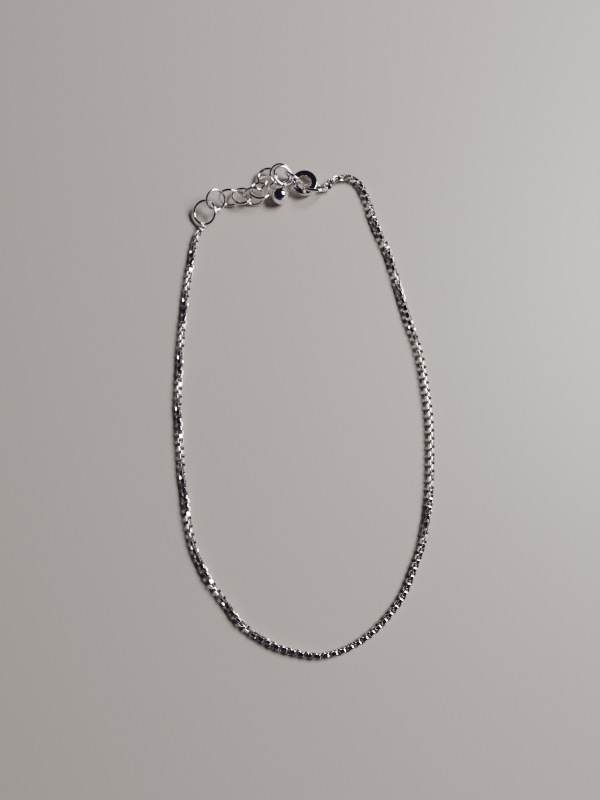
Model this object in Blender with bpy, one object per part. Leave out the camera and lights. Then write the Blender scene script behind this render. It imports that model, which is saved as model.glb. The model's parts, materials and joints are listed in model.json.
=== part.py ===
"""A silver venetian chain bracelet, fastened and lying on its side in one loop.

Metres, +Z up. The origin is the middle of the loop, on the surface that it lies on, and +Y runs
from the lower bend of the chain towards the clasp. The chain is one tube along its route, with a
soldered eye at each end. A spring ring clasp, held by a jump ring, hooks the last but one link of
the extender, and a ball hangs from the last one.
"""

import math

import bmesh
import bpy
from mathutils import Matrix, Vector

MM = 0.001

# One unit of the chain's route and of the places below: it sizes the whole loop.
LOOP_UNIT = 1.0 * MM

# The square chain lies twisted, so its solid is the round tube between its flats and its corners.
CHAIN_SIDE = 1.0 * MM
TWIST_ALLOWANCE = 0.2 * MM
CHAIN_DIAMETER = CHAIN_SIDE + TWIST_ALLOWANCE
CHAIN_POINTS = 120
CHAIN_FACETS = 8

# The eyes that close the chain's two ends.
EYE_RADIUS = 0.56 * MM
EYE_WIRE = 0.3 * MM
EYE_CLEARANCE = 0.06 * MM
END_RING_EYE_ANGLE = 35.0
CLASP_RING_EYE_ANGLE = -66.0

# Jump rings at the chain's ends, and the extender's links.
RING_RADIUS = 1.97 * MM
RING_WIRE = 0.52 * MM
LINK_RADIUS = 1.64 * MM
LINK_WIRE = 0.46 * MM
RING_SEGMENTS = 16
WIRE_SIDES = 6

# The ball at the extender's end, and its eye.
BALL_RADIUS = 1.5 * MM
BALL_EYE_RADIUS = 0.52 * MM
BALL_EYE_STANDOFF = 0.4 * MM
BALL_SEGMENTS = 20
BALL_RINGS = 12

# Spring ring clasp: a tube bent to a ring, with a wire bolt inside it across the gap.
CLASP_RADIUS = 1.72 * MM
CLASP_TUBE = 1.02 * MM
CLASP_FACETS = 12
CLASP_STEP = 7.5
BOLT_WIRE = 0.5 * MM
BOLT_CLEARANCE = 0.06 * MM
BOLT_FACETS = 8
TAB_LENGTH = 0.75 * MM
TAB_THICK = 0.28 * MM
TAB_PROUD = 0.45 * MM
TAB_CLEARANCE = 0.08 * MM

# Angles round the clasp, in degrees from +X, anticlockwise seen from above.
GAP_START = 174.0
GAP_END = 208.0
BOLT_TIP_INSET = 4.0
BOLT_TAIL = 122.0
TAB_MIDDLE = 158.0
BOLT_TRAVEL = 36.0
BORE_END_PLAY = 4.0

# The chain's route: x, y and how far its middle is lifted above lying flat, in loop units.
CHAIN_ROUTE = [
    (-17.9, 29.1, 0.1),
    (-18.5, 27.6, 0.0),
    (-19.2, 23.6, 0.0),
    (-19.8, 18.5, 0.0),
    (-20.2, 13.5, 0.0),
    (-20.5, 8.3, 0.0),
    (-20.6, 3.2, 0.0),
    (-20.6, -1.1, 0.0),
    (-20.3, -5.2, 0.0),
    (-19.9, -9.4, 0.0),
    (-19.5, -13.1, 0.0),
    (-18.5, -19.4, 0.0),
    (-17.4, -23.8, 0.0),
    (-16.0, -26.9, 0.0),
    (-14.6, -29.2, 0.0),
    (-12.4, -32.0, 0.0),
    (-10.3, -34.8, 0.0),
    (-7.8, -36.8, 0.0),
    (-4.4, -38.7, 0.0),
    (-0.9, -39.7, 0.0),
    (2.0, -40.1, 0.0),
    (4.6, -39.7, 0.0),
    (7.4, -38.6, 0.0),
    (10.2, -36.8, 0.0),
    (12.9, -34.3, 0.0),
    (15.4, -31.0, 0.0),
    (17.2, -27.0, 0.0),
    (18.8, -22.7, 0.0),
    (20.0, -16.3, 0.0),
    (20.5, -9.1, 0.0),
    (20.5, -2.6, 0.0),
    (19.7, 4.8, 0.0),
    (18.9, 9.0, 0.0),
    (17.6, 13.3, 0.0),
    (16.1, 18.7, 0.0),
    (15.3, 22.1, 0.0),
    (13.9, 26.5, 0.0),
    (12.2, 30.6, 0.0),
    (11.1, 34.6, 0.0),
    (10.1, 37.0, 0.0),
    (9.1, 38.3, 0.0),
    (7.9, 38.9, 0.1),
    (6.7, 38.9, 0.3),
    (5.4, 38.5, 0.5),
    (4.3, 37.8, 0.7),
]

# Rings of the loop's upper side, in loop units and degrees: middle x and y, the height of the lowest
# point, the angle that the ring leans from lying flat, and the bearing that its face then turns to.
END_RING = {"x": -17.0, "y": 32.15, "low": 0.45, "lean": 24, "bearing": 221}
CLASP_RING = {"x": 1.8, "y": 36.6, "low": 0.0, "lean": 50, "bearing": 86}
EXTENDER_LINKS = [
    {"x": -15.05, "y": 34.1, "low": 0.95, "lean": 41, "bearing": 320},
    {"x": -12.85, "y": 34.7, "low": 0.15, "lean": 66, "bearing": 274},
    {"x": -10.75, "y": 35.35, "low": 0.5, "lean": 16, "bearing": 92},
    {"x": -8.6, "y": 35.0, "low": 0.1, "lean": 62, "bearing": 269},
    {"x": -7.6, "y": 35.7, "low": 1.7, "lean": 15, "bearing": 74},
    {"x": -7.5, "y": 37.3, "low": 0.0, "lean": 51, "bearing": 152},
    {"x": -6.4, "y": 38.75, "low": 0.75, "lean": 12, "bearing": 165},
    {"x": -4.2, "y": 39.1, "low": 0.65, "lean": 27, "bearing": 284},
    {"x": -1.85, "y": 38.35, "low": 0.0, "lean": 76, "bearing": 55},
    {"x": -3.6, "y": 38.2, "low": 1.85, "lean": 27, "bearing": 1},
]
CLASP_PLACE = {"x": 0.0, "y": 37.8, "low": 0.6}
BALL_PLACE = {"x": -4.15, "y": 35.3, "eye_bearing": 63, "eye_rise": 42, "eye_roll": 34}


def clear_scene():
    for old in list(bpy.data.objects):
        bpy.data.objects.remove(old)


def collection(name):
    made = bpy.data.collections.new(name)
    bpy.context.scene.collection.children.link(made)
    return made


def metal(name, colour, roughness):
    """A bare metal surface."""
    made = bpy.data.materials.new(name)
    made.use_nodes = True
    shader = made.node_tree.nodes["Principled BSDF"]
    shader.inputs["Base Color"].default_value = (*colour, 1.0)
    shader.inputs["Metallic"].default_value = 1.0
    shader.inputs["Roughness"].default_value = roughness
    return made


def put(thing, name, parts, material):
    """Names the object, gives it its material and moves it to the bracelet's collection."""
    thing.name = name
    thing.data.name = name
    for holder in list(thing.users_collection):
        holder.objects.unlink(thing)
    parts.objects.link(thing)
    thing.data.materials.clear()
    thing.data.materials.append(material)
    thing.data.shade_smooth()
    thing.data.set_sharp_from_angle(angle=math.radians(50))
    return thing


def mesh_object(name, bm):
    mesh = bpy.data.meshes.new(name)
    bm.to_mesh(mesh)
    bm.free()
    made = bpy.data.objects.new(name, mesh)
    bpy.context.scene.collection.objects.link(made)
    return made


def solid_wire(name, points, diameter, facets, roll=0.0):
    """A round wire through the points, as one closed mesh."""
    curve = bpy.data.curves.new(name, "CURVE")
    curve.dimensions = "3D"
    curve.twist_mode = "Z_UP"
    curve.bevel_mode = "ROUND"
    curve.bevel_depth = diameter / 2
    curve.bevel_resolution = (facets - 4) // 2
    curve.use_fill_caps = True
    spline = curve.splines.new("POLY")
    spline.points.add(len(points) - 1)
    for spot, place in zip(spline.points, points):
        spot.co = (*place, 1.0)
        spot.tilt = roll
    wire = bpy.data.objects.new(name, curve)
    bpy.context.scene.collection.objects.link(wire)
    graph = bpy.context.evaluated_depsgraph_get()
    mesh = bpy.data.meshes.new_from_object(wire.evaluated_get(graph))
    bpy.data.objects.remove(wire)
    bm = bmesh.new()
    bm.from_mesh(mesh)
    bpy.data.meshes.remove(mesh)
    bmesh.ops.remove_doubles(bm, verts=bm.verts, dist=diameter / 1000)
    bmesh.ops.recalc_face_normals(bm, faces=bm.faces)
    return mesh_object(name, bm)


def torus(name, radius, wire, place):
    """A ring of round wire, moved by the matrix."""
    bpy.ops.mesh.primitive_torus_add(
        major_segments=RING_SEGMENTS,
        minor_segments=WIRE_SIDES,
        major_radius=radius,
        minor_radius=wire / 2,
    )
    made = bpy.context.active_object
    made.name = name
    made.matrix_world = place
    return made


def bake_place(thing):
    """Moves the mesh to where its object stands, so that a Boolean sees it there."""
    bpy.context.view_layer.update()
    thing.data.transform(thing.matrix_world)
    thing.matrix_world = Matrix.Identity(4)


def combine(base, other, operation):
    """Joins or cuts two solids for good, and removes the second."""
    bake_place(base)
    bake_place(other)
    step = base.modifiers.new(operation.title(), "BOOLEAN")
    step.operation = operation
    step.object = other
    bpy.context.view_layer.update()
    graph = bpy.context.evaluated_depsgraph_get()
    mesh = bpy.data.meshes.new_from_object(base.evaluated_get(graph))
    base.modifiers.clear()
    old = base.data
    base.data = mesh
    bpy.data.meshes.remove(old)
    bpy.data.objects.remove(other)
    return base


def ring_matrix(place, radius, wire):
    """Where a leaning ring stands: its lowest point is at the height called low."""
    lean = math.radians(place["lean"])
    height = place["low"] * LOOP_UNIT + wire / 2 + radius * math.sin(lean)
    middle = Matrix.Translation((place["x"] * LOOP_UNIT, place["y"] * LOOP_UNIT, height))
    turn = Matrix.Rotation(math.radians(place["bearing"]), 4, "Z")
    return middle @ turn @ Matrix.Rotation(lean, 4, "Y")


def ring_point(place, radius, wire, angle):
    """A point of a leaning ring's wire, by its angle round the ring from the leaning side."""
    turn = math.radians(angle)
    spoke = Vector((math.cos(turn), math.sin(turn), 0.0))
    return ring_matrix(place, radius, wire) @ (radius * spoke)


def smooth_route(places, count):
    """Evenly spaced points of the smooth curve through the places."""
    fine = []
    padded = [2 * places[0] - places[1], *places, 2 * places[-1] - places[-2]]
    for before, start, end, after in zip(padded, padded[1:], padded[2:], padded[3:]):
        for step in range(24):
            t = step / 24
            fine.append(
                0.5 * (
                    2 * start
                    + (end - before) * t
                    + (2 * before - 5 * start + 4 * end - after) * t**2
                    + (3 * start - before - 3 * end + after) * t**3
                )
            )
    fine.append(places[-1])
    run = [0.0]
    for a, b in zip(fine, fine[1:]):
        run.append(run[-1] + (b - a).length)
    spaced = []
    at = 0
    for step in range(count):
        want = run[-1] * step / (count - 1)
        while at < len(fine) - 2 and run[at + 1] < want:
            at += 1
        share = (want - run[at]) / (run[at + 1] - run[at])
        spaced.append(fine[at].lerp(fine[at + 1], share))
    return spaced


def eye_place(ring, radius, wire, angle):
    """An eye's middle round the ring's wire, the way out of the ring there, and the eye's axis."""
    held = ring_point(ring, radius, wire, angle)
    hub = ring_matrix(ring, radius, wire).translation
    outward = (held - hub).normalized()
    face = ring_matrix(ring, radius, wire).to_3x3() @ Vector((0, 0, 1))
    slack = EYE_RADIUS - EYE_WIRE / 2 - wire / 2 - EYE_CLEARANCE
    return held + outward * slack, outward, face.cross(outward)


def facing(middle, axis, side):
    """A matrix at the middle whose Z runs along the axis and whose X points to the side."""
    z = axis.normalized()
    x = (side - z * side.dot(z)).normalized()
    turn = Matrix((x, z.cross(x), z)).transposed()
    return Matrix.Translation(middle) @ turn.to_4x4()


def make_chain(parts):
    silver = metal("chain_silver", (0.86, 0.85, 0.84), 0.14)
    start, start_out, start_axis = eye_place(END_RING, RING_RADIUS, RING_WIRE, END_RING_EYE_ANGLE)
    end, end_out, end_axis = eye_place(CLASP_RING, RING_RADIUS, RING_WIRE, CLASP_RING_EYE_ANGLE)
    flat = CHAIN_DIAMETER / 2 * math.cos(math.pi / CHAIN_FACETS)
    laid = [Vector((x, y, lift)) * LOOP_UNIT + Vector((0, 0, flat)) for x, y, lift in CHAIN_ROUTE]
    route = [start + start_out * EYE_RADIUS, *laid, end + end_out * EYE_RADIUS]
    points = smooth_route(route, CHAIN_POINTS)
    flat_down = math.pi / CHAIN_FACETS
    chain = solid_wire("venetian_chain", points, CHAIN_DIAMETER, CHAIN_FACETS, flat_down)
    for middle, outward, axis in ((start, start_out, start_axis), (end, end_out, end_axis)):
        eye = torus("eye", EYE_RADIUS, EYE_WIRE, facing(middle, axis, outward))
        combine(chain, eye, "UNION")
    put(chain, "venetian_chain", parts, silver)


def make_rings(parts):
    silver = metal("ring_silver", (0.88, 0.87, 0.86), 0.1)
    for name, place in (("end_ring", END_RING), ("clasp_ring", CLASP_RING)):
        ring = torus(name, RING_RADIUS, RING_WIRE, ring_matrix(place, RING_RADIUS, RING_WIRE))
        put(ring, name, parts, silver)
    for number, place in enumerate(EXTENDER_LINKS, start=1):
        name = f"extender_link_{number:02d}"
        link = torus(name, LINK_RADIUS, LINK_WIRE, ring_matrix(place, LINK_RADIUS, LINK_WIRE))
        put(link, name, parts, silver)


def make_ball(parts):
    """The ball, with its eye soldered on where the last link holds it."""
    silver = metal("ball_silver", (0.88, 0.87, 0.86), 0.06)
    middle = Vector((BALL_PLACE["x"] * LOOP_UNIT, BALL_PLACE["y"] * LOOP_UNIT, BALL_RADIUS))
    bearing = math.radians(BALL_PLACE["eye_bearing"])
    rise = math.radians(BALL_PLACE["eye_rise"])
    level = Vector((math.cos(bearing), math.sin(bearing), 0.0))
    outward = level * math.cos(rise) + Vector((0.0, 0.0, math.sin(rise)))
    bpy.ops.mesh.primitive_uv_sphere_add(
        segments=BALL_SEGMENTS, ring_count=BALL_RINGS, radius=BALL_RADIUS, location=middle
    )
    ball = bpy.context.active_object
    sideways = outward.cross(Vector((0, 0, 1)))
    axis = Matrix.Rotation(math.radians(BALL_PLACE["eye_roll"]), 3, outward) @ sideways
    eye_middle = middle + outward * (BALL_RADIUS + BALL_EYE_STANDOFF)
    eye = torus("eye", BALL_EYE_RADIUS, EYE_WIRE, facing(eye_middle, axis, outward))
    put(combine(ball, eye, "UNION"), "end_ball", parts, silver)


def arc_points(start, end, radius, middle):
    """Points round the clasp's ring, from one angle to another."""
    count = max(2, round((end - start) / CLASP_STEP) + 1)
    points = []
    for step in range(count):
        turn = math.radians(start + (end - start) * step / (count - 1))
        points.append(middle + Vector((radius * math.cos(turn), radius * math.sin(turn), 0)))
    return points


def ring_block(name, start, end, inner, outer, thick, middle):
    """A flat block that follows the ring from one angle to another."""
    bm = bmesh.new()
    rims = []
    for point in arc_points(start, end, 1.0, Vector()):
        corners = ((inner, -thick / 2), (outer, -thick / 2), (outer, thick / 2), (inner, thick / 2))
        rim = []
        for reach, rise in corners:
            rim.append(bm.verts.new(middle + point * reach + Vector((0, 0, rise))))
        rims.append(rim)
    for before, after in zip(rims, rims[1:]):
        for side in range(4):
            bm.faces.new((before[side], before[side - 1], after[side - 1], after[side]))
    bm.faces.new(rims[0])
    bm.faces.new(reversed(rims[-1]))
    bmesh.ops.recalc_face_normals(bm, faces=bm.faces)
    return mesh_object(name, bm)


def make_clasp(parts):
    """The tube with its gap, bore and slot, and the bolt whose thumb tab stands out of the slot."""
    silver = metal("clasp_silver", (0.87, 0.86, 0.85), 0.1)
    bright_wire = metal("bolt_wire", (0.78, 0.78, 0.78), 0.18)
    height = CLASP_PLACE["low"] * LOOP_UNIT + CLASP_TUBE / 2
    middle = Vector((CLASP_PLACE["x"] * LOOP_UNIT, CLASP_PLACE["y"] * LOOP_UNIT, height))
    bore = BOLT_WIRE + 2 * BOLT_CLEARANCE
    tab_half = math.degrees(TAB_LENGTH / 2 / CLASP_RADIUS)
    slot_end_play = math.degrees(TAB_CLEARANCE / CLASP_RADIUS)
    body_points = arc_points(GAP_END, GAP_START + 360, CLASP_RADIUS, middle)
    body = solid_wire("clasp_body", body_points, CLASP_TUBE, CLASP_FACETS)
    bore_start = BOLT_TAIL - BOLT_TRAVEL - BORE_END_PLAY
    bore_end = GAP_END + BOLT_TIP_INSET + BORE_END_PLAY
    bore_points = arc_points(bore_start, bore_end, CLASP_RADIUS, middle)
    cutter = solid_wire("bore", bore_points, bore, BOLT_FACETS)
    combine(body, cutter, "DIFFERENCE")
    slot = ring_block(
        "slot",
        TAB_MIDDLE - BOLT_TRAVEL - tab_half - slot_end_play,
        GAP_START + CLASP_STEP,
        CLASP_RADIUS,
        CLASP_RADIUS + CLASP_TUBE,
        TAB_THICK + 2 * TAB_CLEARANCE,
        middle,
    )
    combine(body, slot, "DIFFERENCE")
    put(body, "clasp_body", parts, silver)

    bolt_points = arc_points(BOLT_TAIL, GAP_END + BOLT_TIP_INSET, CLASP_RADIUS, middle)
    bolt = solid_wire("clasp_bolt", bolt_points, BOLT_WIRE, BOLT_FACETS)
    tab = ring_block(
        "tab",
        TAB_MIDDLE - tab_half,
        TAB_MIDDLE + tab_half,
        CLASP_RADIUS,
        CLASP_RADIUS + CLASP_TUBE / 2 + TAB_PROUD,
        TAB_THICK,
        middle,
    )
    combine(bolt, tab, "UNION")
    bolt.data.transform(Matrix.Translation(-middle))
    bolt.location = middle
    put(bolt, "clasp_bolt", parts, bright_wire)


def main():
    clear_scene()
    parts = collection("venetian_chain_bracelet")
    make_chain(parts)
    make_rings(parts)
    make_ball(parts)
    make_clasp(parts)


main()
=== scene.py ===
"""Looks of a silver venetian chain bracelet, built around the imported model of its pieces.

Metres, +Z up. The chain's box links, its rings, the ball and the spring ring clasp are modelled here
at full detail where their plain solids lie.
"""

import json
import math
import random

import bmesh
import bpy
import numpy as np
from mathutils import Matrix, Vector


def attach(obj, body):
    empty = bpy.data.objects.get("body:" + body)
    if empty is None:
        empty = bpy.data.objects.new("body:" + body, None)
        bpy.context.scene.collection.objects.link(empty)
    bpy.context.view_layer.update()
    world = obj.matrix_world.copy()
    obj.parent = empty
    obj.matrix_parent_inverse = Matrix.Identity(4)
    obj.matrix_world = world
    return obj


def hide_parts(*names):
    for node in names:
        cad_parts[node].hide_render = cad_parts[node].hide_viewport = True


bl_info = {
    "name": "Venetian Chain Bracelet",
    "version": (1, 0, 0),
    "blender": (4, 5, 0),
    "location": "View3D > Sidebar > Bracelet",
    "description": "Builds a silver box link bracelet with its clasp, extender and ball",
    "category": "Add Mesh",
}

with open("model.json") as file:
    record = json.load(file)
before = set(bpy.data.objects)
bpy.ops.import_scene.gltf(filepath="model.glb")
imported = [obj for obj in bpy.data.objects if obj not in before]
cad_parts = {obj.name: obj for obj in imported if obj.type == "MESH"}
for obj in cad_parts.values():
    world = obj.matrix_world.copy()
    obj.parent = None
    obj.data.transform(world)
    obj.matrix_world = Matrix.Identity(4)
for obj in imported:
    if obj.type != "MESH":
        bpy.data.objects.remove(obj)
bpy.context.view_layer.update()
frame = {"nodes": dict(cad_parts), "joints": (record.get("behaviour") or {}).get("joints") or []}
MM = 0.001
UP = np.array([0.0, 0.0, 1.0])

# The grain of the metals: where haze starts and is full on its noise, and how deep the scratches are.
HAZE_START = 0.35
HAZE_FULL = 0.7
SCRATCH_DEPTH = 0.004 * MM
SCRATCH_TURN = (0.5, 0.3, 0.6)
SCRATCH_STRETCH = (1.0, 0.12, 0.35)

# How finely the round things are meshed.
RING_STEPS = 96
RING_SIDES = 20
EYE_STEPS = 48
EYE_SIDES = 14
BALL_EYE_STEPS = 64
BALL_EYE_SIDES = 18
TUBE_STEPS = 120
TUBE_SIDES = 64
BOLT_STEPS = 42
BOLT_SIDES = 24
LIP_STEPS = 5
NOSE_STEPS = 6
BORE_STEPS = 24
SLOT_STEP = math.radians(2)
TAB_STEP = math.radians(4)
TAB_ROUNDING_STEPS = 3
CURVE_STEPS = 40

# A soldered seam: how much it swells, and the fine hollow at this many half seams to either side.
SEAM_SWELL = 0.05
SEAM_HOLLOW_PLACE = 1.6
SEAM_HOLLOW_WIDTH = 0.45

# The rounding of a box link's strip: the share of its thickness that an edge takes, and the share of
# an edge that its chamfer starts at. The support step keeps the shading of the flats flat.
LINK_EDGE_SHARE = 0.46
LINK_CHAMFER_SHARE = 0.3
LINK_SUPPORT = 0.02 * MM
LINK_BEND_STEPS = 5

# Seeds of the links' play and of the places of the rings' seams.
CHAIN_SEED = 7
SEAM_SEED = 11

# Small clearances.
EYE_SLACK = 0.06 * MM
EYE_DROP_SHARE = 1.1
NEAR_RING = 0.02 * MM
FLOOR_GAP = 0.005 * MM

# The clasp's tube and bolt.
TUBE_LIP = 0.08 * MM
TUBE_CAP_TURN = math.radians(8)
BORE_PLAY_TURN = math.radians(24)
SLOT_PLAY_TURN = math.radians(2.7)
SLOT_PAST_GAP_TURN = math.radians(6)
SLOT_PLAY = 0.16 * MM
TIP_INSET_TURN = math.radians(4)
TIP_RADIUS = 0.02 * MM
TAB_ROUNDING = 0.07 * MM

# The chain's route on the surface, in mm: x, y and how far its middle is lifted off lying flat.
CHAIN_ROUTE = [
    (-17.9, 29.1, 0.1),
    (-18.5, 27.6, 0.0),
    (-19.2, 23.6, 0.0),
    (-19.8, 18.5, 0.0),
    (-20.2, 13.5, 0.0),
    (-20.5, 8.3, 0.0),
    (-20.6, 3.2, 0.0),
    (-20.6, -1.1, 0.0),
    (-20.3, -5.2, 0.0),
    (-19.9, -9.4, 0.0),
    (-19.5, -13.1, 0.0),
    (-18.5, -19.4, 0.0),
    (-17.4, -23.8, 0.0),
    (-16.0, -26.9, 0.0),
    (-14.6, -29.2, 0.0),
    (-12.4, -32.0, 0.0),
    (-10.3, -34.8, 0.0),
    (-7.8, -36.8, 0.0),
    (-4.4, -38.7, 0.0),
    (-0.9, -39.7, 0.0),
    (2.0, -40.1, 0.0),
    (4.6, -39.7, 0.0),
    (7.4, -38.6, 0.0),
    (10.2, -36.8, 0.0),
    (12.9, -34.3, 0.0),
    (15.4, -31.0, 0.0),
    (17.2, -27.0, 0.0),
    (18.8, -22.7, 0.0),
    (20.0, -16.3, 0.0),
    (20.5, -9.1, 0.0),
    (20.5, -2.6, 0.0),
    (19.7, 4.8, 0.0),
    (18.9, 9.0, 0.0),
    (17.6, 13.3, 0.0),
    (16.1, 18.7, 0.0),
    (15.3, 22.1, 0.0),
    (13.9, 26.5, 0.0),
    (12.2, 30.6, 0.0),
    (11.1, 34.6, 0.0),
    (10.1, 37.0, 0.0),
    (9.1, 38.3, 0.0),
    (7.9, 38.9, 0.1),
    (6.7, 38.9, 0.3),
    (5.4, 38.5, 0.5),
    (4.3, 37.8, 0.7),
]

# How the chain is twisted as it lies: share of its length from the left end, and its roll in degrees.
# A roll of 0 lays one flat side down, and 45 stands it on an edge.
CHAIN_TWIST = [
    (0.0, 66.0),
    (0.045, -22.0),
    (0.1, -112.0),
    (0.153, -202.0),
    (0.202, -292.0),
    (0.274, -382.0),
    (0.338, -472.0),
    (0.383, -562.0),
    (0.415, -645.0),
    (0.5, -632.0),
    (0.57, -622.0),
    (0.605, -608.0),
    (0.63, -541.0),
    (0.655, -508.0),
    (0.73, -507.0),
    (0.79, -502.0),
    (0.838, -458.0),
    (0.852, -442.0),
    (0.874, -372.0),
    (0.89, -348.0),
    (0.909, -282.0),
    (0.925, -258.0),
    (0.953, -192.0),
    (0.967, -168.0),
    (1.0, -100.0),
]


def linear(code, alpha=1.0):
    """An sRGB hex colour as linear red, green, blue and alpha."""
    levels = [int(code.lstrip("#")[start : start + 2], 16) / 255 for start in (0, 2, 4)]
    lit = [v / 12.92 if v <= 0.04045 else ((v + 0.055) / 1.055) ** 2.4 for v in levels]
    return (*lit, alpha)


def length(name, description, value):
    """A size that a user may change."""
    return bpy.props.FloatProperty(
        name=name, description=description, default=value, min=0.0, precision=6, unit="LENGTH"
    )


def turn(name, description, degrees):
    """An angle that a user may change."""
    return bpy.props.FloatProperty(
        name=name, description=description, default=math.radians(degrees), subtype="ANGLE"
    )


def colour(name, description, code):
    """A colour that a user may change."""
    return bpy.props.FloatVectorProperty(
        name=name,
        description=description,
        default=linear(code),
        size=4,
        min=0.0,
        max=1.0,
        subtype="COLOR",
    )


class BraceletChain(bpy.types.PropertyGroup):
    side: length("Chain side", "Width of the square chain across its flats", 1.0 * MM)
    strip: length("Strip thickness", "Thickness of the strip that each link is bent from", 0.17 * MM)
    strip_width: length("Strip width", "Width of the strip that each link is bent from", 0.6 * MM)
    link_length: length("Link length", "Outer length of one box link", 1.02 * MM)
    pitch: length("Pitch", "Distance from one link to the next", 0.66 * MM)
    corner: length("Corner radius", "Outer radius of a link's bent corners", 0.27 * MM)
    eye_radius: length("End eye radius", "Middle radius of the eyes at the chain's ends", 0.56 * MM)
    eye_wire: length("End eye wire", "Wire of the eyes at the chain's ends", 0.3 * MM)
    play: turn("Play", "How far the links swing in each other at most", 4.0)
    silver: colour("Chain silver", "Colour of the chain's silver", "#EFECE6")
    # Dark grey of the strip's inner side: painted shade in the gaps between the links.
    inner_painted_shade: colour("Inner painted shade", "Colour of the strip's unpolished inner side", "#6A6462")


class BraceletRings(bpy.types.PropertyGroup):
    link_radius: length("Link radius", "Middle radius of the extender's links", 1.64 * MM)
    link_wire: length("Link wire", "Wire of the extender's links", 0.46 * MM)
    ring_radius: length("Jump ring radius", "Middle radius of the two jump rings", 1.97 * MM)
    ring_wire: length("Jump ring wire", "Wire of the two jump rings", 0.52 * MM)
    seam: length("Solder seam", "Length of the soldered seam in each ring", 0.3 * MM)
    silver: colour("Wire silver", "Colour of the rings' silver", "#F2EFEA")


class BraceletBall(bpy.types.PropertyGroup):
    radius: length("Ball radius", "Radius of the end ball", 1.5 * MM)
    eye_radius: length("Ball eye radius", "Middle radius of the ball's eye", 0.52 * MM)
    eye_wire: length("Ball eye wire", "Wire of the ball's eye", 0.3 * MM)
    silver: colour("Ball silver", "Colour of the ball's silver", "#F4F2EE")


class BraceletClasp(bpy.types.PropertyGroup):
    radius: length("Clasp radius", "Middle radius of the spring ring", 1.72 * MM)
    tube: length("Clasp tube", "Outer diameter of the clasp's tube", 1.02 * MM)
    square: bpy.props.FloatProperty(
        name="Squareness",
        description="Power of the tube's pressed section, 2 is round",
        default=8.0,
        min=2.0,
    )
    flat: bpy.props.FloatProperty(
        name="Flatness", description="Height of the tube as a share of its width", default=0.72, max=1.0
    )
    wall: length("Tube wall", "Wall of the clasp's tube at its open ends", 0.2 * MM)
    bolt: length("Bolt wire", "Diameter of the bolt in the tube", 0.5 * MM)
    tab_length: length("Tab length", "Length of the thumb tab round the ring", 0.75 * MM)
    tab_thick: length("Tab thickness", "Thickness of the thumb tab", 0.28 * MM)
    tab_proud: length("Tab height", "How far the thumb tab stands out of the tube", 0.45 * MM)
    gap_start: turn("Gap start", "Where the tube's gap starts", 174.0)
    gap_end: turn("Gap end", "Where the tube's gap ends", 208.0)
    tab_middle: turn("Tab place", "Where the thumb tab stands with the clasp shut", 158.0)
    travel: turn("Bolt travel", "How far the bolt slides round the ring", 36.0)
    silver: colour("Clasp silver", "Colour of the clasp's silver", "#F0EDE8")
    bolt_colour: colour("Bolt wire colour", "Colour of the bolt's spring wire", "#DADADB")


class BraceletStage(bpy.types.PropertyGroup):
    lens: bpy.props.FloatProperty(
        name="Lens", description="Focal length on a 36 mm sensor", default=28.8, min=1.0
    )
    distance: length("Camera distance", "Distance of the camera from the point it looks at", 105.6 * MM)
    tilt: turn("Camera tilt", "How far the camera leans back from looking straight down", 9.2)
    shift: length("Look at X", "X of the point that the camera looks at", -0.75 * MM)
    floor: colour("Floor", "Colour of the plain floor", "#AFA69D")
    window_power: bpy.props.FloatProperty(
        name="Window power", description="Watts of the soft window light", default=2.95, min=0.0
    )
    window_width: length("Window width", "Width of the window light", 210.0 * MM)
    window_height: length("Window height", "Height of the window light", 130.0 * MM)
    window_distance: length("Window distance", "Distance of the window light", 380.0 * MM)
    window_way: bpy.props.FloatVectorProperty(
        name="Window direction",
        description="Direction from the bracelet to the window light",
        default=(0.657, 0.281, 0.709),
        size=3,
        subtype="DIRECTION",
    )
    window_colour: colour("Window colour", "Colour of the window light", "#FBFAFF")
    floor_half: length("Floor reach", "Half the width of the plain floor", 1500.0 * MM)
    floor_rough: bpy.props.FloatProperty(
        name="Floor roughness", description="Roughness of the plain floor", default=0.5, min=0.0, max=1.0
    )
    sky: bpy.props.FloatProperty(
        name="Room light", description="Strength of the soft light from the room", default=0.16, min=0.0
    )
    pale_wall: bpy.props.FloatProperty(
        name="Pale wall",
        description="Strength of the pale wall on the window's side",
        default=3.0,
        min=0.0,
    )
    walls: colour("Walls", "Colour of the room near the horizon", "#A8A1AE")
    ceiling: colour("Ceiling", "Colour of the dim room overhead", "#55476A")


def add_node(tree, kind, links=None, inputs=None, **settings):
    """Adds one shader node: settings on it, values on its inputs, and links into them."""
    node = tree.nodes.new(kind)
    for name, value in settings.items():
        setattr(node, name, value)
    for name, value in (inputs or {}).items():
        node.inputs[name].default_value = value
    for name, output in (links or {}).items():
        tree.links.new(output, node.inputs[name])
    return node


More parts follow.
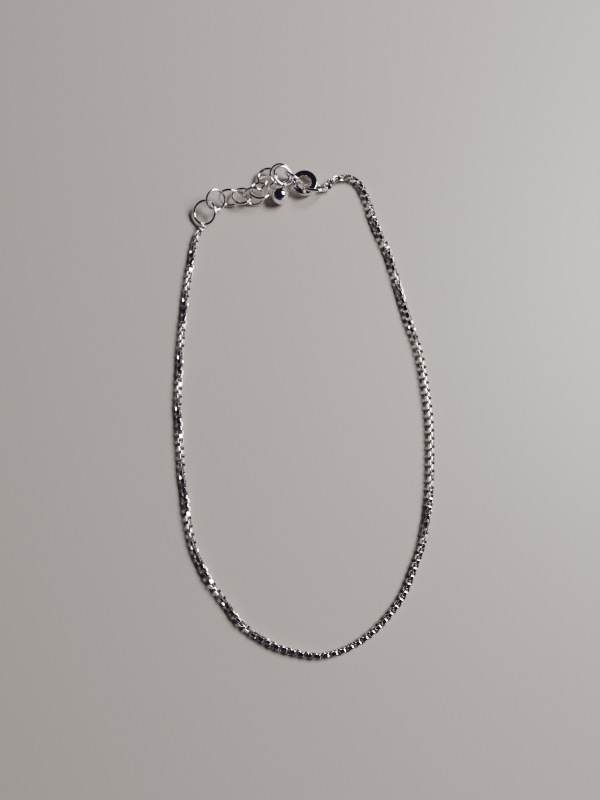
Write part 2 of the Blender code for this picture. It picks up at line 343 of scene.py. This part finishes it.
def silver_surface(name, colour_value, rough, haze, scratch, scratch_mm, patch_mm):
    """Bare polished metal: soft patches of haze, and fine handling scratches in its bump."""
    material = bpy.data.materials.new(name)
    material.use_nodes = True
    tree = material.node_tree
    shader = tree.nodes["Principled BSDF"]
    shader.inputs["Base Color"].default_value = colour_value
    shader.inputs["Metallic"].default_value = 1.0
    spot = add_node(tree, "ShaderNodeTexCoord")
    patches = add_node(
        tree,
        "ShaderNodeTexNoise",
        links={"Vector": spot.outputs["Object"]},
        inputs={"Scale": 1 / (patch_mm * MM), "Detail": 3.0, "Roughness": 0.6},
    )
    roughness = add_node(
        tree,
        "ShaderNodeMapRange",
        links={"Value": patches.outputs["Fac"]},
        inputs={"From Min": HAZE_START, "From Max": HAZE_FULL, "To Min": rough, "To Max": rough + haze},
    )
    tree.links.new(roughness.outputs["Result"], shader.inputs["Roughness"])
    stretch = add_node(
        tree,
        "ShaderNodeMapping",
        links={"Vector": spot.outputs["Object"]},
        inputs={"Rotation": SCRATCH_TURN, "Scale": SCRATCH_STRETCH},
    )
    lines = add_node(
        tree,
        "ShaderNodeTexNoise",
        links={"Vector": stretch.outputs["Vector"]},
        inputs={"Scale": 1 / (scratch_mm * MM), "Detail": 4.0, "Roughness": 0.7},
    )
    bump = add_node(
        tree,
        "ShaderNodeBump",
        links={"Height": lines.outputs["Fac"]},
        inputs={"Strength": scratch, "Distance": SCRATCH_DEPTH},
    )
    tree.links.new(bump.outputs["Normal"], shader.inputs["Normal"])
    return material


def piece(name, verts, faces, material, body, nodes, sharp=50.0):
    """A finished mesh that rides on its body and stands for the plain solids of its pieces."""
    mesh = bpy.data.meshes.new(name)
    mesh.from_pydata([tuple(map(float, v)) for v in verts], [], [tuple(map(int, f)) for f in faces])
    mesh.validate()
    bm = bmesh.new()
    bm.from_mesh(mesh)
    bmesh.ops.recalc_face_normals(bm, faces=bm.faces)
    bm.to_mesh(mesh)
    bm.free()
    mesh.shade_smooth()
    mesh.set_sharp_from_angle(angle=math.radians(sharp))
    made = bpy.data.objects.new(name, mesh)
    bpy.context.scene.collection.objects.link(made)
    made.data.materials.append(material)
    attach(made, body)
    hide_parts(*nodes)
    return made


def tube_faces(rows, sides, closed):
    """The faces of a skin of rows of points, its ends capped where it isn't closed."""
    faces = []
    for row in range(rows if closed else rows - 1):
        here, after = row * sides, (row + 1) % rows * sides
        for side in range(sides):
            beside = (side + 1) % sides
            faces.append((here + side, here + beside, after + beside, after + side))
    if not closed:
        faces += [tuple(range(sides)), tuple(range((rows - 1) * sides, rows * sides))]
    return faces


def sweep(middles, outs, ups, radii, sides, closed):
    """A round skin through the middles: out and up span each section, and radii give its size."""
    angles = np.linspace(0, 2 * math.pi, sides, endpoint=False)
    spokes = np.cos(angles)[:, None, None] * outs + np.sin(angles)[:, None, None] * ups
    verts = (middles + spokes * np.asarray(radii)[:, None]).transpose(1, 0, 2).reshape(-1, 3)
    return verts, tube_faces(len(middles), sides, closed)


def join(parts):
    """Several lists of points and faces as one."""
    verts, faces, start = [], [], 0
    for points, corners in parts:
        verts.append(np.asarray(points, float))
        faces.extend(tuple(start + corner for corner in face) for face in corners)
        start += len(points)
    return np.concatenate(verts), faces


def flat_fit(points):
    """The middle of a flat ring of points, and the direction that it faces, upwards."""
    middle = points.mean(0)
    spread, directions = np.linalg.eigh((points - middle).T @ (points - middle))
    face = directions[:, int(np.argmin(spread))]
    return middle, face if face[2] >= 0 else -face


def node_points(node):
    """The points of one plain solid."""
    mesh = frame["nodes"][node].data
    points = np.empty(len(mesh.vertices) * 3)
    mesh.vertices.foreach_get("co", points)
    return points.reshape(-1, 3)


def ring_mesh(middle, face, radius, wire, seam, seam_way, steps=RING_STEPS, sides=RING_SIDES):
    """A ring of round wire whose soldered seam is a shade thicker, with a fine hollow either side."""
    face = face / np.linalg.norm(face)
    first = seam_way - face * (seam_way @ face)
    first = first / np.linalg.norm(first)
    second = np.cross(face, first)
    angles = np.linspace(0, 2 * math.pi, steps, endpoint=False)
    outs = np.cos(angles)[:, None] * first + np.sin(angles)[:, None] * second
    away = np.abs((angles + math.pi) % (2 * math.pi) - math.pi) * radius / (seam / 2)
    hollow = np.exp(-(((away - SEAM_HOLLOW_PLACE) / SEAM_HOLLOW_WIDTH) ** 2))
    swell = 1 + SEAM_SWELL * np.exp(-(away**2)) - SEAM_SWELL * hollow
    ups = np.repeat(face[None], steps, 0)
    return sweep(middle + outs * radius, outs, ups, wire / 2 * swell, sides, True)


def smooth_line(places, step):
    """Points of the smooth curve through the places, a fixed step apart."""
    padded = [2 * places[0] - places[1], *places, 2 * places[-1] - places[-2]]
    fine = []
    for before, start, end, after in zip(padded, padded[1:], padded[2:], padded[3:]):
        t = np.linspace(0, 1, CURVE_STEPS, endpoint=False)[:, None]
        fine.append(
            0.5
            * (
                2 * start
                + (end - before) * t
                + (2 * before - 5 * start + 4 * end - after) * t**2
                + (3 * start - before - 3 * end + after) * t**3
            )
        )
    fine = np.concatenate([*fine, [places[-1]]])
    run = np.concatenate([[0], np.cumsum(np.linalg.norm(np.diff(fine, axis=0), axis=1))])
    count = int(round(run[-1] / step)) + 1
    wanted = np.linspace(0, run[-1], count)
    return np.stack([np.interp(wanted, run, fine[:, axis]) for axis in range(3)], 1)


def box_link(chain):
    """One link along X: a strip bent round a square, its width along Y and its opening seen from Y.

    Also tells which of its faces are the strip's flat inner side.
    """
    half, tall, bend = chain.link_length / 2, chain.side / 2, chain.corner
    width, thick = chain.strip_width / 2, chain.strip
    edge, step = LINK_EDGE_SHARE * thick, LINK_SUPPORT
    chamfer = LINK_CHAMFER_SHARE * edge
    path, outward = [], []
    for corner_x, corner_z, start in ((1, 1, 0), (-1, 1, 90), (-1, -1, 180), (1, -1, 270)):
        hub = np.array([corner_x * (half - bend), 0.0, corner_z * (tall - bend)])
        ways = [
            np.array([math.cos(angle), 0.0, math.sin(angle)])
            for angle in np.radians(np.linspace(start, start + 90, LINK_BEND_STEPS))
        ]
        path += [hub + bend * ways[0] - step * ways[-1], *(hub + bend * way for way in ways)]
        path.append(hub + bend * ways[-1] - step * ways[0])
        outward += [ways[0], *ways, ways[-1]]
    section = [
        (0.0, -width + edge + step),
        (0.0, width - edge - step),
        (0.0, width - edge),
        (-chamfer, width - chamfer),
        (-edge, width),
        (-thick + edge, width),
        (-thick, width - edge),
        (-thick, -width + edge),
        (-thick + edge, -width),
        (-edge, -width),
        (-chamfer, -width + chamfer),
        (0.0, -width + edge),
    ]
    verts = [
        place + way * depth + np.array([0.0, across, 0.0])
        for place, way in zip(path, outward)
        for depth, across in section
    ]
    faces = tube_faces(len(path), len(section), True)
    inner = np.zeros(len(faces), int)
    inner[section.index((-thick, width - edge)) :: len(section)] = 1
    return np.array(verts), faces, inner


def turned(points, axis, angle):
    """Points turned about an axis through the origin."""
    return points @ np.array(Matrix.Rotation(angle, 3, Vector(axis))).T


def chain_eyes(chain, rings):
    """The middle, outward way and axis of the soldered eye at each end, from the solids that it joins."""
    points = node_points("venetian_chain")
    eyes = []
    for node in ("end_ring", "clasp_ring"):
        middle, face = flat_fit(node_points(node))
        reach = np.linalg.norm(points - middle, axis=1)
        way = points[reach < reach.min() + NEAR_RING].mean(0) - middle
        way = way - face * (way @ face)
        way = way / np.linalg.norm(way)
        slack = chain.eye_radius - chain.eye_wire / 2 - rings.ring_wire / 2 - EYE_SLACK
        eyes.append((middle + way * (rings.ring_radius + slack), way, np.cross(face, way)))
    return eyes


class BRACELET_OT_box_chain(bpy.types.Operator):
    """Builds every box link of the chain along its route, and the soldered eyes at its ends"""

    bl_idname = "bracelet.box_chain"
    bl_label = "Box Chain"

    def execute(self, context):
        chain = context.scene.bracelet_chain
        # Sterling silver strip, bent, tumbled and dipped: bright flats that mirror the room, with a
        # little haze in the corners, so a twisted run flickers between white and near black.
        silver = silver_surface(
            "sterling_silver_tumbled_strip", tuple(chain.silver), 0.05, 0.06, 0.08, 0.03, 0.8
        )
        # The inner side of the strip, left rougher than the flats: its dark grey colour is painted shade,
        # so the gaps between the links read as near black.
        dull = silver_surface(
            "sterling_silver_painted_shade_inside", tuple(chain.inner_painted_shade), 0.35, 0.15, 0.2, 0.05, 0.5
        )
        low = chain.side / 2
        eyes = chain_eyes(chain, context.scene.bracelet_rings)
        ends = [eye + way * chain.eye_radius - UP * EYE_DROP_SHARE * low for eye, way, _ in eyes]
        laid = [np.array([x * MM, y * MM, lift * MM]) for x, y, lift in CHAIN_ROUTE]
        places = smooth_line([ends[0], *laid, ends[1]], chain.pitch)
        ahead = np.gradient(places, axis=0)
        ahead = ahead / np.linalg.norm(ahead, axis=1)[:, None]
        shares = np.linspace(0, 1, len(places))
        rolls = np.radians(np.interp(shares, *zip(*CHAIN_TWIST)))
        shape, corners, inner = box_link(chain)
        chance = random.Random(CHAIN_SEED)
        links = []
        for number, (place, way, roll) in enumerate(zip(places, ahead, rolls)):
            points = turned(shape, (1, 0, 0), math.radians(90) * (number % 2))
            points = turned(points, (0, 1, 0), chance.uniform(-0.5, 0.5) * chain.play)
            points = turned(points, (0, 0, 1), chance.uniform(-0.5, 0.5) * chain.play)
            points = turned(points, (1, 0, 0), roll + chance.uniform(-1, 1) * chain.play)
            side = np.cross(UP, way)
            side = side / np.linalg.norm(side)
            basis = np.stack([way, side, np.cross(way, side)])
            height = low * (abs(math.cos(roll)) + abs(math.sin(roll)))
            points = points @ basis + place + UP * height
            points[:, 2] += max(0.0, FLOOR_GAP - points[:, 2].min())
            links.append((points, corners))
        wire = chain.eye_wire
        for middle, way, axis in eyes:
            links.append(ring_mesh(middle, axis, chain.eye_radius, wire, wire, way, EYE_STEPS, EYE_SIDES))
        verts, faces = join(links)
        made = piece(
            "box_links", verts, faces, silver, "bracelet", ["venetian_chain"], sharp=40.0
        )
        # The strip's inner faces take the dark material: painted shade between the links.
        made.data.materials.append(dull)
        sides = np.zeros(len(faces), int)
        sides[: len(inner) * len(places)] = np.tile(inner, len(places))
        made.data.polygons.foreach_set("material_index", sides)
        return {"FINISHED"}


class BRACELET_OT_rings(bpy.types.Operator):
    """Builds the jump rings and the extender's links where their solids lie"""

    bl_idname = "bracelet.rings"
    bl_label = "Rings and Extender"

    def execute(self, context):
        rings = context.scene.bracelet_rings
        # Sterling silver wire, drawn, closed with solder and tumbled: smooth and bright, with the
        # faintest lines along the wire.
        silver = silver_surface(
            "sterling_silver_drawn_wire", tuple(rings.silver), 0.04, 0.05, 0.06, 0.05, 1.5
        )
        chance = random.Random(SEAM_SEED)
        for node in sorted(frame["nodes"]):
            jump = node in ("end_ring", "clasp_ring")
            if not jump and not node.startswith("extender_link_"):
                continue
            radius = rings.ring_radius if jump else rings.link_radius
            wire = rings.ring_wire if jump else rings.link_wire
            middle, face = flat_fit(node_points(node))
            seam_way = np.array([chance.uniform(-1, 1), chance.uniform(-1, 1), -0.4])
            verts, faces = ring_mesh(middle, face, radius, wire, rings.seam, seam_way)
            piece(f"{node}_wire", verts, faces, silver, "bracelet", [node])
        return {"FINISHED"}


class BRACELET_OT_ball(bpy.types.Operator):
    """Builds the end ball with the eye that is soldered to it"""

    bl_idname = "bracelet.ball"
    bl_label = "End Ball"

    def execute(self, context):
        ball = context.scene.bracelet_ball
        # Sterling silver sheet, pressed to a bead, soldered and burnished: a near perfect mirror.
        silver = silver_surface(
            "sterling_silver_burnished_bead", tuple(ball.silver), 0.03, 0.04, 0.04, 0.06, 2.0
        )
        points = node_points("end_ball")
        middle = points.min(0) + ball.radius
        reach = np.linalg.norm(points - middle, axis=1)
        eye_points = points[reach > ball.radius * 1.04]
        eye_middle, eye_face = flat_fit(eye_points)
        out = eye_middle - middle
        out = out / np.linalg.norm(out)
        eye_face = eye_face - out * (eye_face @ out)
        stand = reach.max() - ball.eye_radius - ball.eye_wire / 2
        bm = bmesh.new()
        bmesh.ops.create_icosphere(bm, subdivisions=5, radius=ball.radius)
        sphere = np.array([v.co[:] for v in bm.verts]) + middle
        shells = [(sphere, [tuple(v.index for v in f.verts) for f in bm.faces])]
        bm.free()
        eye, wire = middle + out * stand, ball.eye_wire
        shells.append(
            ring_mesh(eye, eye_face, ball.eye_radius, wire, wire, out, BALL_EYE_STEPS, BALL_EYE_SIDES)
        )
        verts, faces = join(shells)
        piece("end_ball_bead", verts, faces, silver, "bracelet", ["end_ball"])
        return {"FINISHED"}


def round_the_ring(clasp, middle, stops, sides, power=2.0, flat=1.0):
    """A skin that follows the clasp's ring through stops of angle and radius, closed at both ends.

    A power above 2 squares the section, and a flat below 1 presses it.
    """
    turns = np.linspace(0, 2 * math.pi, sides, endpoint=False)
    across = np.sign(np.cos(turns)) * np.abs(np.cos(turns)) ** (2 / power)
    rise = np.sign(np.sin(turns)) * np.abs(np.sin(turns)) ** (2 / power) * flat
    verts = []
    for angle, reach in stops:
        out = np.array([math.cos(angle), math.sin(angle), 0.0])
        reaches = (clasp.radius + reach * across)[:, None]
        verts.append(middle + out * reaches + rise[:, None] * reach * UP)
    return np.concatenate(verts), tube_faces(len(stops), sides, False)


def rounded_end(edge, turn_in, low, high, count):
    """Stops of angle and radius round an end: low at its edge, and high a turn further in."""
    arcs = np.linspace(0, math.pi / 2, count)
    return [(edge + turn_in * (1 - math.cos(arc)), low + (high - low) * math.sin(arc)) for arc in arcs]


def ring_block(middle, start, end, inner, outer, thick, step):
    """A block that follows the ring from one angle to another."""
    count = max(2, int(round((end - start) / step)) + 1)
    verts, faces = [], []
    for angle in np.linspace(start, end, count):
        spoke = np.array([math.cos(angle), math.sin(angle), 0.0])
        for reach, rise in ((inner, -0.5), (outer, -0.5), (outer, 0.5), (inner, 0.5)):
            verts.append(middle + spoke * reach + UP * rise * thick)
    for row in range(count - 1):
        for side in range(4):
            beside = (side + 1) % 4
            faces.append((row * 4 + side, row * 4 + beside, row * 4 + 4 + beside, row * 4 + 4 + side))
    faces.append((0, 1, 2, 3))
    faces.append(tuple(len(verts) - 4 + side for side in range(4)))
    return np.array(verts), faces


def plain_object(name, verts, faces):
    """A mesh object whose faces look outwards, with no body or material."""
    mesh = bpy.data.meshes.new(name)
    mesh.from_pydata([tuple(v) for v in verts], [], faces)
    bm = bmesh.new()
    bm.from_mesh(mesh)
    bmesh.ops.recalc_face_normals(bm, faces=bm.faces)
    bm.to_mesh(mesh)
    bm.free()
    made = bpy.data.objects.new(name, mesh)
    bpy.context.scene.collection.objects.link(made)
    return made


def apply_boolean(base, other, operation):
    """Cuts or joins for good, and removes the second object."""
    step = base.modifiers.new(operation.title(), "BOOLEAN")
    step.operation = operation
    step.solver = "EXACT"
    step.object = other
    bpy.context.view_layer.update()
    graph = bpy.context.evaluated_depsgraph_get()
    mesh = bpy.data.meshes.new_from_object(base.evaluated_get(graph))
    base.modifiers.clear()
    base.data = mesh
    bpy.data.objects.remove(other)


def rounded_edges(thing, width, segments):
    """Bevels an object's edges for good, by their angle."""
    step = thing.modifiers.new("Bevel", "BEVEL")
    step.width = width
    step.segments = segments
    step.limit_method = "ANGLE"
    step.angle_limit = math.radians(40)
    bpy.context.view_layer.update()
    graph = bpy.context.evaluated_depsgraph_get()
    mesh = bpy.data.meshes.new_from_object(thing.evaluated_get(graph))
    thing.modifiers.clear()
    thing.data = mesh


def mesh_arrays(thing):
    """An object's points and faces, and the object is removed."""
    verts = np.array([v.co[:] for v in thing.data.vertices])
    faces = [tuple(f.vertices) for f in thing.data.polygons]
    bpy.data.objects.remove(thing)
    return verts, faces


class BRACELET_OT_clasp(bpy.types.Operator):
    """Builds the spring ring's tube with its open ends and slot, and the bolt with its thumb tab"""

    bl_idname = "bracelet.clasp"
    bl_label = "Spring Ring Clasp"

    def execute(self, context):
        clasp = context.scene.bracelet_clasp
        middle = np.array(frame["joints"][0]["pos_m"])
        outer, inner = clasp.tube / 2, clasp.tube / 2 - clasp.wall
        start, end = clasp.gap_end, clasp.gap_start + 2 * math.pi
        lip_turn = TUBE_LIP / clasp.radius
        back = clasp.travel + BORE_PLAY_TURN
        # Sterling silver tube, bent round and cut: bright, a little softer at its cut ends.
        silver = silver_surface(
            "sterling_silver_bent_tube", tuple(clasp.silver), 0.04, 0.05, 0.05, 0.06, 2.0
        )
        # Hard drawn steel spring wire: greyer than the silver, with fine draw lines.
        wire = silver_surface(
            "stainless_steel_spring_wire", tuple(clasp.bolt_colour), 0.08, 0.06, 0.2, 0.04, 1.0
        )
        near_lip = rounded_end(start, lip_turn, outer - TUBE_LIP, outer, LIP_STEPS)
        far_lip = rounded_end(end, -lip_turn, outer - TUBE_LIP, outer, LIP_STEPS)
        stops = [(start + TUBE_CAP_TURN, inner), (start, inner), *near_lip]
        for angle in np.linspace(start + lip_turn, end - lip_turn, TUBE_STEPS)[1:-1]:
            stops.append((angle, outer))
        stops += far_lip[::-1]
        for angle in np.linspace(end, end - back, BORE_STEPS):
            stops.append((angle, inner))
        skin = round_the_ring(clasp, middle, stops, TUBE_SIDES, clasp.square, clasp.flat)
        body = plain_object("tube", *skin)
        tab_half = clasp.tab_length / 2 / clasp.radius
        slot_start = clasp.tab_middle - clasp.travel - tab_half - SLOT_PLAY_TURN
        slot = plain_object(
            "slot",
            *ring_block(
                middle,
                slot_start,
                clasp.gap_start + SLOT_PAST_GAP_TURN,
                clasp.radius,
                clasp.radius + clasp.tube,
                clasp.tab_thick + SLOT_PLAY,
                SLOT_STEP,
            ),
        )
        apply_boolean(body, slot, "DIFFERENCE")
        verts, faces = mesh_arrays(body)
        piece("clasp_tube", verts, faces, silver, "bracelet", ["clasp_body"], sharp=40.0)

        tip, tail = clasp.gap_end + TIP_INSET_TURN, clasp.tab_middle - clasp.travel
        bolt = clasp.bolt / 2
        nose = bolt / clasp.radius
        stops = rounded_end(tail, nose, TIP_RADIUS, bolt, NOSE_STEPS)
        for angle in np.linspace(tail + nose, tip - nose, BOLT_STEPS)[1:-1]:
            stops.append((angle, bolt))
        stops += rounded_end(tip, -nose, TIP_RADIUS, bolt, NOSE_STEPS)[::-1]
        rod = round_the_ring(clasp, middle, stops, BOLT_SIDES)
        tab = plain_object(
            "tab",
            *ring_block(
                middle,
                clasp.tab_middle - tab_half,
                clasp.tab_middle + tab_half,
                clasp.radius,
                clasp.radius + clasp.tube / 2 + clasp.tab_proud,
                clasp.tab_thick,
                TAB_STEP,
            ),
        )
        rounded_edges(tab, TAB_ROUNDING, TAB_ROUNDING_STEPS)
        verts, faces = join([rod, mesh_arrays(tab)])
        piece("clasp_bolt_wire", verts, faces, wire, "bolt", ["clasp_bolt"], sharp=40.0)
        return {"FINISHED"}


class BRACELET_OT_stage(bpy.types.Operator):
    """Lays the plain floor, and sets the camera, the window light and the dim room"""

    bl_idname = "bracelet.stage"
    bl_label = "Stage"

    def execute(self, context):
        stage = context.scene.bracelet_stage
        half = stage.floor_half
        corners = [(-half, -half, 0.0), (half, -half, 0.0), (half, half, 0.0), (-half, half, 0.0)]
        floor = plain_object("floor", corners, [(0, 1, 2, 3)])
        paint = bpy.data.materials.new("matte_board")
        paint.use_nodes = True
        shader = paint.node_tree.nodes["Principled BSDF"]
        shader.inputs["Base Color"].default_value = tuple(stage.floor)
        shader.inputs["Roughness"].default_value = stage.floor_rough
        floor.data.materials.append(paint)

        aim = Vector((stage.shift, 0.0, 0.0))
        away = Vector((0.0, -math.sin(stage.tilt), math.cos(stage.tilt)))
        lens = bpy.data.cameras.new("camera")
        lens.lens = stage.lens
        lens.sensor_width = 36.0
        lens.sensor_fit = "AUTO"
        lens.clip_start = 0.001
        camera = bpy.data.objects.new("camera", lens)
        camera.location = aim + away * stage.distance
        camera.rotation_euler = (stage.tilt, 0.0, 0.0)
        context.scene.collection.objects.link(camera)
        context.scene.camera = camera

        glow = bpy.data.lights.new("window", "AREA")
        glow.shape = "RECTANGLE"
        glow.size = stage.window_width
        glow.size_y = stage.window_height
        glow.energy = stage.window_power
        glow.color = tuple(stage.window_colour)[:3]
        window = bpy.data.objects.new("window", glow)
        way = Vector(stage.window_way).normalized()
        window.location = way * stage.window_distance
        window.rotation_euler = way.to_track_quat("Z", "Y").to_euler()
        context.scene.collection.objects.link(window)

        room = bpy.data.worlds.new("dim_room")
        room.use_nodes = True
        tree = room.node_tree
        tree.nodes.clear()
        spot = add_node(tree, "ShaderNodeTexCoord")
        parts = add_node(tree, "ShaderNodeSeparateXYZ", links={"Vector": spot.outputs["Generated"]})
        height = add_node(
            tree,
            "ShaderNodeMapRange",
            links={"Value": parts.outputs["Z"]},
            inputs={"From Min": 0.0, "From Max": 0.6, "To Min": 0.0, "To Max": 1.0},
            interpolation_type="SMOOTHSTEP",
        )
        tint = add_node(
            tree, "ShaderNodeMix", links={"Factor": height.outputs["Result"]}, data_type="RGBA"
        )
        tint.inputs[6].default_value = tuple(stage.walls)
        tint.inputs[7].default_value = tuple(stage.ceiling)
        toward = add_node(
            tree,
            "ShaderNodeMapRange",
            links={"Value": parts.outputs["X"]},
            inputs={"From Min": 0.1, "From Max": 0.8, "To Min": 0.0, "To Max": stage.pale_wall},
            interpolation_type="SMOOTHSTEP",
        )
        near = add_node(
            tree,
            "ShaderNodeMapRange",
            links={"Value": height.outputs["Result"]},
            inputs={"From Min": 0.0, "From Max": 1.0, "To Min": 1.0, "To Max": 0.0},
        )
        wall = add_node(
            tree,
            "ShaderNodeMath",
            links={0: toward.outputs["Result"], 1: near.outputs["Result"]},
            inputs={2: stage.sky},
            operation="MULTIPLY_ADD",
        )
        back = add_node(
            tree,
            "ShaderNodeBackground",
            links={"Color": tint.outputs[2], "Strength": wall.outputs["Value"]},
        )
        add_node(tree, "ShaderNodeOutputWorld", links={"Surface": back.outputs["Background"]})
        context.scene.world = room
        return {"FINISHED"}


class BRACELET_PT_panel(bpy.types.Panel):
    bl_label = "Venetian Chain Bracelet"
    bl_idname = "BRACELET_PT_panel"
    bl_space_type = "VIEW_3D"
    bl_region_type = "UI"
    bl_category = "Bracelet"

    def draw(self, context):
        for step, group in STEPS:
            box = self.layout.box()
            box.operator(step.bl_idname)
            settings = getattr(context.scene, group)
            for name in settings.__annotations__:
                box.prop(settings, name)


STEPS = [
    (BRACELET_OT_stage, "bracelet_stage"),
    (BRACELET_OT_box_chain, "bracelet_chain"),
    (BRACELET_OT_rings, "bracelet_rings"),
    (BRACELET_OT_ball, "bracelet_ball"),
    (BRACELET_OT_clasp, "bracelet_clasp"),
]
GROUPS = {
    "bracelet_stage": BraceletStage,
    "bracelet_chain": BraceletChain,
    "bracelet_rings": BraceletRings,
    "bracelet_ball": BraceletBall,
    "bracelet_clasp": BraceletClasp,
}


def register():
    for name, group in GROUPS.items():
        bpy.utils.register_class(group)
        setattr(bpy.types.Scene, name, bpy.props.PointerProperty(type=group))
    for step, _ in STEPS:
        bpy.utils.register_class(step)
    bpy.utils.register_class(BRACELET_PT_panel)


def unregister():
    bpy.utils.unregister_class(BRACELET_PT_panel)
    for step, _ in reversed(STEPS):
        bpy.utils.unregister_class(step)
    for name, group in GROUPS.items():
        delattr(bpy.types.Scene, name)
        bpy.utils.unregister_class(group)


def main():
    register()
    bpy.ops.bracelet.stage()
    bpy.ops.bracelet.box_chain()
    bpy.ops.bracelet.rings()
    bpy.ops.bracelet.ball()
    bpy.ops.bracelet.clasp()


if __name__ == "__main__":
    main()
